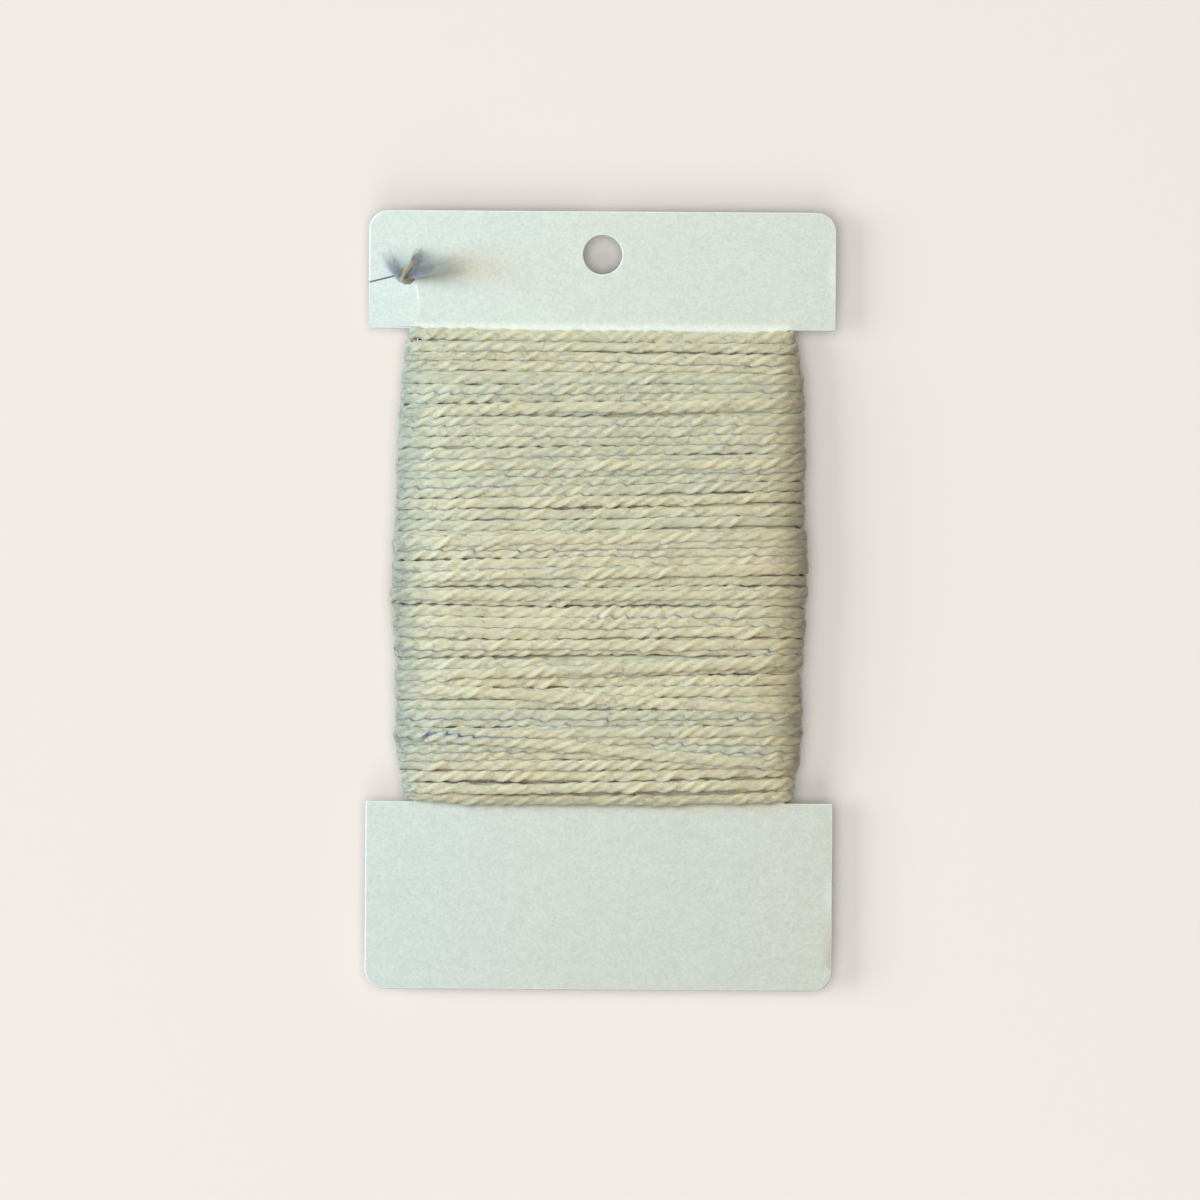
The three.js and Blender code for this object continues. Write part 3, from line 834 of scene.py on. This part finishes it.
# The outer layer in bands that part from one another, from the head down: the number of turns and
# the height of the band's lower edge at the left and the right side, in millimetres.
BANDS = [
    {"turns": 2, "left": 40.4, "right": 40.2},
    {"turns": 2, "left": 37.0, "right": 36.6},
    {"turns": 2, "left": 33.6, "right": 34.4},
    {"turns": 4, "left": 26.3, "right": 27.3},
    {"turns": 3, "left": 21.1, "right": 22.5},
    {"turns": 3, "left": 16.3, "right": 17.8},
    {"turns": 5, "left": 7.8, "right": 8.7},
    {"turns": 2, "left": 4.8, "right": 6.4},
    {"turns": 4, "left": -1.0, "right": -1.1},
    {"turns": 3, "left": -6.4, "right": -6.3},
    {"turns": 2, "left": -9.6, "right": -8.9},
    {"turns": 2, "left": -13.2, "right": -11.4},
    {"turns": 2, "left": -16.6, "right": -15.7},
    {"turns": 3, "left": -20.9, "right": -20.6},
    {"turns": 2, "left": -23.6, "right": -23.0},
    {"turns": 2, "left": -26.2, "right": -25.8},
    {"turns": 2, "left": -29.7, "right": -28.2},
    {"turns": 2, "left": -32.8, "right": -32.8},
]
OUTER_TOP = 43.8  # the upper edge of the first band
BAND_GAP = 0.08
TURN_SHIFT = 0.11  # how far a turn lies from its even share of the band
# The turns that were laid across the others at the end, in millimetres at the left and right side.
CROSSING_TURNS = [
    {"left": 30.6, "right": 32.2},
    {"left": 21.4, "right": 22.6},
    {"left": 3.4, "right": 5.4},
    {"left": 0.6, "right": 1.4},
    {"left": -12.9, "right": -9.4},
    {"left": -14.2, "right": -17.6},
    {"left": -22.3, "right": -21.3},
    {"left": -21.6, "right": -26.6},
    {"left": 9.4, "right": 10.6},
]
# The layers below: where each begins and ends, and its pitch, in millimetres.
UNDER_LAYERS = [
    {"start": -30.6, "end": 41.4, "pitch": 1.62},
    {"start": 36.6, "end": -26.8, "pitch": 1.66},
    {"start": -23.0, "end": 30.0, "pitch": 1.64},
]
UNDER_LEAN = 0.2  # how much higher an under turn is at the right side than at the left
FOOT_SAG = [1.15, 0.75, 0.3]  # how far the lowest turns hang over the foot, on the face
LAST_TURNS = 3  # the turns at the foot that are laid after the crossing ones


def outer_rows():
    """The middle of each outer turn at the left and right side: even shares of its band, less the
    band's gap, and a little off them at random."""
    rows = []
    left_top = right_top = OUTER_TOP
    for band in BANDS:
        for i in range(band["turns"]):
            share = (i + 0.5) / band["turns"]
            left = left_top + (band["left"] + BAND_GAP - left_top) * share
            right = right_top + (band["right"] + BAND_GAP - right_top) * share
            shift = draw.normal(0, TURN_SHIFT)
            rows.append((left + shift, right + shift + draw.normal(0, TURN_SHIFT / 2), 0.0))
        left_top, right_top = band["left"], band["right"]
    for i, sag in enumerate(FOOT_SAG):
        rows[-1 - i] = (*rows[-1 - i][:2], sag)
    return rows


def layer_rows(layer):
    """Even turns from a layer's start to its end."""
    count = int(abs(layer["end"] - layer["start"]) / layer["pitch"]) + 1
    return [(y, y + UNDER_LEAN, 0.0) for y in np.linspace(layer["start"], layer["end"], count)]


outer = outer_rows()[::-1]
turns = [(*row, 0) for layer in UNDER_LAYERS for row in layer_rows(layer)]
turns += [(*row, 1) for row in outer[:-LAST_TURNS]]
turns += [(row["left"], row["right"], 0.0, 1) for row in CROSSING_TURNS]
turns += [(*row, 1) for row in outer[-LAST_TURNS:]]
turn_left, turn_right, turn_sag, turn_outer = np.array(turns, float).T
turn_left, turn_right, turn_sag = turn_left * MM, turn_right * MM, turn_sag * MM


def turn_heights(index):
    """The height up the card of one turn at each column: level round the sides, leaning from left
    to right on the face, and on the back half way to the turn before it and the turn after it."""
    left, right = turn_left[index], turn_right[index]
    before = turn_right[max(index - 1, 0)]
    after = turn_left[min(index + 1, len(turn_left) - 1)]
    lean = (1 + ACROSS) / 2
    face = left + (right - left) * lean - turn_sag[index] * (1 - ACROSS**2)
    first_half = np.arange(COLUMNS) < COLUMNS / 2
    back = np.where(first_half, left + (before - left) * lean, after + (right - after) * lean)
    return np.where(ON_FACE, face, back)


wander = WANDER * drawn_noise(len(turns) * COLUMNS, WANDER_COLUMNS)
turn_y = np.concatenate([turn_heights(i) for i in range(len(turns))]) + wander
soften = bell(SOFTEN_REACH, SOFTEN_COLUMNS)
soften /= soften.sum()
turn_y = np.convolve(np.pad(turn_y, SOFTEN_REACH, mode="edge"), soften, mode="valid")


def lay_turns(y_all):
    """Lays the turns one after another and returns the height of their middle over the waist. A
    turn's middle is as high as the highest thing under it lets its round section sink, less the
    bedding, and is then blurred along the turn as tension would straighten it."""
    bins = int(round((Y_HIGH - Y_LOW) / Y_STEP))
    ground = np.zeros((COLUMNS, bins))
    reach = int(round(TURN_BED_WIDTH / Y_STEP))
    away = np.arange(-reach, reach + 1)
    dome = TURN_HALF_HEIGHT * np.sqrt(np.clip(1 - (away * Y_STEP / TURN_BED_WIDTH) ** 2, 0, 1))
    column = np.arange(COLUMNS)[:, None]
    blur = bell(TENSION_REACH, TENSION_COLUMNS)
    blur /= blur.sum()
    tail_end = None
    heights = []
    for y in y_all.reshape(-1, COLUMNS):
        spot = np.round((y - Y_LOW) / Y_STEP).astype(int)[:, None] + away
        middle = (ground[column, spot] + dome).max(1) - BEDDING
        lead = np.full(TENSION_REACH, middle[0]) if tail_end is None else tail_end
        tail_end = middle[-TENSION_REACH:]
        padded = np.concatenate([lead, middle, np.full(TENSION_REACH, middle[-1])])
        middle = np.convolve(padded, blur, mode="valid")
        ground[column, spot] = np.maximum(ground[column, spot], middle[:, None] + dome)
        heights.append(middle)
    return np.concatenate(heights)


CREST_SPREAD = 2 * MM
CREST_REACH, CREST_COLUMNS = 30, 10
EVENNESS_POWER = 8  # how closely the evenness of the sides keeps to them
UNDER_SINK = 0.12  # how far the under turns stay below the outer ones, as a share of the way
LEAST_SHARE = 0.1


def fill_shape(y_all, height_all):
    """The path of the whole thread. A turn's share of the way to the skin is its middle's height
    over the average height of the crests round it, so that the crests come to lie on the skin. The
    average is a Gaussian one over 2 mm up the card, and is smoothed along the columns. Tension
    evens the outer turns, most where they go round the card's edges."""
    y, height = y_all.reshape(-1, COLUMNS), height_all.reshape(-1, COLUMNS)
    top = turn_outer > 0
    crest = height[top] + TURN_HALF_HEIGHT
    away = (REACH_AT[:, None, None] - y[top]) / CREST_SPREAD
    weight = np.exp(-0.5 * away**2)
    average = (weight * crest).sum(1) / weight.sum(1)
    blur = bell(CREST_REACH, CREST_COLUMNS)
    wrapped = np.pad(average, ((0, 0), (CREST_REACH, CREST_REACH)), mode="wrap")
    average = np.array([np.convolve(row, blur / blur.sum(), mode="valid") for row in wrapped])
    own = np.array([np.interp(y[:, k], REACH_AT, average[:, k]) for k in range(COLUMNS)]).T
    level = (own - TURN_HALF_HEIGHT) / own
    kept = EVENNESS_FACE + (EVENNESS_SIDE - EVENNESS_FACE) * ACROSS**EVENNESS_POWER
    evened = level + (height / own - level) * kept
    share = np.where(top[:, None], evened, np.minimum(height / own, level - UNDER_SINK))
    share = np.clip(share, LEAST_SHARE, 1.0).ravel()
    base_x, base_z, step_x, step_z = ring_rays(y_all)
    path = np.column_stack([base_x + step_x * share, y_all, CARD_MIDDLE + base_z + step_z * share])
    return path, np.column_stack([step_x, np.zeros(len(step_x)), step_z])


winding_path, winding_out = fill_shape(turn_y, lay_turns(turn_y))
run_length = np.concatenate([[0], np.cumsum(np.linalg.norm(np.diff(winding_path, axis=0), axis=1))])


def edge_shade(points):
    """Painted shade round the card's edges, where the winding's sides turn down away from the
    light: it grows by a power of the way out to the side."""
    far_out = np.clip((np.abs(points[:, 0]) - EDGE_SHADE_FROM) / EDGE_SHADE_REACH, 0, 1)
    return EDGE_SHADE * far_out**EDGE_SHADE_POWER


def winding_tube(first, last, stride, sides):
    """The thread of the turns from first up to last, a point every stride columns. Its width,
    height and tone wander along it."""
    take = np.arange(first * COLUMNS, min(last * COLUMNS + 1, len(winding_path)), stride)
    width, height = (
        half * (1 + TURN_UNEVENNESS * drawn_noise(len(take), UNEVENNESS_COLUMNS / stride))
        for half in (TURN_HALF_WIDTH, TURN_HALF_HEIGHT)
    )
    tube = thread_tube(
        winding_path[take], winding_out[take], width, height, start=run_length[take[0]], sides=sides
    )
    tone = TURN_TONE * drawn_noise(len(take), TONE_COLUMNS / stride)
    tube["tone"] = np.concatenate([np.repeat(tone, len(tube["points"]) // len(take)), [0, 0]])
    # Painted shade on the sides and on the lowest turns over the foot.
    lowest = np.clip((FOOT_SHADE_TOP - tube["points"][:, 1]) / FOOT_SHADE_FADE, 0, 1)
    tube["painted_shade"] = np.maximum(edge_shade(tube["points"]), FOOT_SHADE * lowest)
    # The turns behind the card are pressed flat on what the piece lies on.
    tube["points"][:, 2] = np.maximum(tube["points"][:, 2], 0.0)
    return tube


under_count = int((turn_outer == 0).sum())
outer_count = len(turns) - under_count
PIECES_OF_OUTER = 4  # which keeps each under 200,000 triangles
# The outer turns have most of their sides where they show.
OUTER_SIDES = np.radians([*np.linspace(-20, 200, 13), 235, 270, 305])
cuts = [under_count + round(outer_count * i / PIECES_OF_OUTER) for i in range(PIECES_OF_OUTER + 1)]
UNDER_STRIDE, UNDER_SIDES = 5, 7
pieces = [("winding_under_layers", 0, under_count, UNDER_STRIDE, UNDER_SIDES)]
pieces += [
    (f"winding_outer_{i + 1}", cuts[i], cuts[i + 1], 1, OUTER_SIDES) for i in range(PIECES_OF_OUTER)
]
for name, first, last, stride, sides in pieces:
    piece = thread_piece(name, [winding_tube(first, last, stride, sides)], THREAD)
    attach(piece, "root")
    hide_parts("winding")

# The loose fibre. Spun thread is hairy: all over the face and the sides of the winding, fine ends
# and loops of fibre stand off the turns and lie across the grooves between them.
LOOSE_PIECES = 2
LOOSE_FIBRES = 6500  # in each piece
LOOSE_RADIUS = 0.022 * MM
LOOSE_LENGTH = (1.3 * MM, 3.0 * MM)
LOOSE_SLANT = math.radians(65)  # the most that a fibre leans away from its turn's direction
LOOSE_ASIDE = 0.7 * MM  # the most that its middle lies beside the turn's
LOOSE_HEIGHT = 0.58 * MM  # of its ends over the turn's middle
LOOSE_BOW, LOOSE_BOW_SHARES = 0.22 * MM, (0.15, 1.0)
LOOSE_CURL = 0.25 * MM
LOOSE_TUCK = 0.1 * MM  # how far its ends dip into the thread
LOOSE_TONE = (0.2, 0.4)  # the mean and the spread
LOOSE_SHOWS_OVER = -0.55  # the lowest place on the winding's section where the fibre is laid
LOOSE_POINTS, LOOSE_SIDES = 4, 3

outer_start = under_count * COLUMNS
winding_up, winding_beside = path_frame(winding_path, winding_out)
on_show = np.flatnonzero(np.tile(OUT > LOOSE_SHOWS_OVER, len(turns)))
on_show = on_show[(on_show > outer_start) & (on_show < len(winding_path) - 9)]


def loose_fibres(count):
    """Fibres as a bundle of tubes, all worked out at once. Each is an arch over a random spot of an
    outer turn: it runs along the turn by its length and the cosine of its slant, across it by the
    sine, and rises in a parabola from its ends."""
    spot = draw.choice(on_show, count)
    length = draw.uniform(*LOOSE_LENGTH, count)
    slant = draw.uniform(-LOOSE_SLANT, LOOSE_SLANT, count)
    aside = draw.uniform(-LOOSE_ASIDE, LOOSE_ASIDE, count)
    bow = LOOSE_BOW * draw.uniform(*LOOSE_BOW_SHARES, count) ** 2
    curl = draw.normal(0, LOOSE_CURL, count)
    t = np.linspace(-1, 1, LOOSE_POINTS)
    column_length = np.linalg.norm(winding_path[spot + 1] - winding_path[spot], axis=1)
    place = spot[:, None] + (length * np.cos(slant) / 2 / column_length)[:, None] * t
    place = np.clip(place, outer_start, len(winding_path) - 1.001)
    whole, part = place.astype(int), (place % 1)[..., None]
    centre = winding_path[whole] * (1 - part) + winding_path[whole + 1] * part
    up, beside = winding_up[whole], winding_beside[whole]
    across = aside[:, None] + (length * np.sin(slant) / 2)[:, None] * t + curl[:, None] * (1 - t**2)
    height = LOOSE_HEIGHT + bow[:, None] * (1 - t**2) - LOOSE_TUCK * t**4
    centre = centre + across[..., None] * beside + height[..., None] * up
    ahead = np.gradient(centre, axis=1)
    ahead /= np.linalg.norm(ahead, axis=2, keepdims=True)
    sideways = np.cross(ahead, up)
    sideways /= np.linalg.norm(sideways, axis=2, keepdims=True)
    outward = np.cross(sideways, ahead)
    angle = (2 * np.pi * np.arange(LOOSE_SIDES) / LOOSE_SIDES)[:, None]
    skin = centre[:, :, None] + LOOSE_RADIUS * (
        np.cos(angle) * sideways[:, :, None] + np.sin(angle) * outward[:, :, None]
    )
    fibre, ring, side = np.meshgrid(
        np.arange(count), np.arange(LOOSE_POINTS - 1), np.arange(LOOSE_SIDES), indexing="ij"
    )
    first = fibre * LOOSE_POINTS * LOOSE_SIDES + ring * LOOSE_SIDES
    after = (side + 1) % LOOSE_SIDES
    quads = np.stack(
        [first + side, first + LOOSE_SIDES + side, first + LOOSE_SIDES + after, first + after], axis=-1
    ).reshape(-1, 4)
    start = np.arange(count) * LOOSE_POINTS * LOOSE_SIDES
    end = start + (LOOSE_POINTS - 1) * LOOSE_SIDES
    triangles = np.vstack([
        np.stack([start, start + 1, start + 2], axis=1),
        np.stack([end, end + 2, end + 1], axis=1),
    ])
    points = skin.reshape(-1, 3)
    each = LOOSE_POINTS * LOOSE_SIDES
    along = np.repeat(np.arange(len(quads)) % 7.0, 4)
    return {
        "points": points,
        "quads": quads,
        "triangles": triangles,
        "quad_uv": np.stack([along, np.zeros(len(along))], axis=1).reshape(-1, 4, 2),
        "valley": np.zeros(len(points)),
        "tone": np.repeat(draw.normal(*LOOSE_TONE, count), each),
        # The loose fibres on the sides get the same painted shade.
        "painted_shade": edge_shade(points),
    }


for i in range(LOOSE_PIECES):
    piece = thread_piece(f"winding_loose_fibre_{i + 1}", [loose_fibres(LOOSE_FIBRES)], THREAD)
    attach(piece, "root")

# The surface that the card lies on, warm and nearly white.
FLOOR_COLOUR = (0.60, 0.572, 0.541, 1)
FLOOR_CORNERS = [(-3, -3, 0), (3, -3, 0), (3, 3, 0), (-3, 3, 0)]

floor_mesh = bpy.data.meshes.new("surface")
floor_mesh.from_pydata(FLOOR_CORNERS, [], [(0, 1, 2, 3)])
floor = bpy.data.objects.new("surface", floor_mesh)
bpy.context.scene.collection.objects.link(floor)
floor_material = bpy.data.materials.new("pale surface")
floor_material.use_nodes = True
floor_shader = floor_material.node_tree.nodes["Principled BSDF"]
floor_shader.inputs["Base Color"].default_value = FLOOR_COLOUR
floor_shader.inputs["Roughness"].default_value = 0.95
floor_shader.inputs["Specular IOR Level"].default_value = 0.0
floor_mesh.materials.append(floor_material)


# The studio. As a backdrop is, the surface is lit apart from the piece, so that its shadows stay
# soft and pale. The piece has a broad light overhead and a cooler one low on its left.
def linked_to_surface(name, state):
    """A set for light linking that holds the surface, to light it alone or to leave it out."""
    group = bpy.data.collections.new(name)
    group.objects.link(floor)
    group.collection_objects[0].light_linking.link_state = state
    return group


SURFACE_ALONE = linked_to_surface("surface alone", "INCLUDE")
ALL_BUT_SURFACE = linked_to_surface("all but the surface", "EXCLUDE")


def soft_light(name, place, size, radiance, colour, lit):
    """A rectangular light that faces the card. Its power follows from its radiance and its area."""
    data = bpy.data.lights.new(name, "AREA")
    data.shape = "RECTANGLE"
    data.size, data.size_y = size
    data.energy = radiance * 4 * size[0] * size[1]
    data.color = colour
    lamp = bpy.data.objects.new(name, data)
    lamp.location = place
    lamp.rotation_euler = (-Vector(place)).to_track_quat("-Z", "Y").to_euler()
    lamp.visible_camera = False
    lamp.light_linking.receiver_collection = lit
    bpy.context.scene.collection.objects.link(lamp)


soft_light("overhead", (-0.8, 0.36, 1.77), (1.4, 1.4), 4.45, (1.0, 0.908, 0.78), ALL_BUT_SURFACE)
soft_light("left", (-0.52, 0.075, 0.205), (0.24, 0.14), 18.5, (0.16, 0.57, 1.0), ALL_BUT_SURFACE)
soft_light("surface overhead", (-0.1, -0.05, 3.0), (2.4, 2.4), 3.2, (1.0, 1.0, 1.0), SURFACE_ALONE)
soft_light("surface left", (-3.2, -0.1, 1.7), (2.2, 2.0), 5.5, (1.0, 1.0, 1.0), SURFACE_ALONE)
soft_light("surface front", (-0.4, -2.8, 2.0), (2.8, 2.2), 2.1, (1.0, 1.0, 1.0), SURFACE_ALONE)

ROOM_COLOUR, ROOM_STRENGTH = (1.0, 0.98, 0.95, 1), 0.24
world = bpy.data.worlds.new("studio")
world.use_nodes = True
world.node_tree.nodes["Background"].inputs["Color"].default_value = ROOM_COLOUR
world.node_tree.nodes["Background"].inputs["Strength"].default_value = ROOM_STRENGTH
bpy.context.scene.world = world
bpy.context.scene.view_settings.view_transform = "Standard"
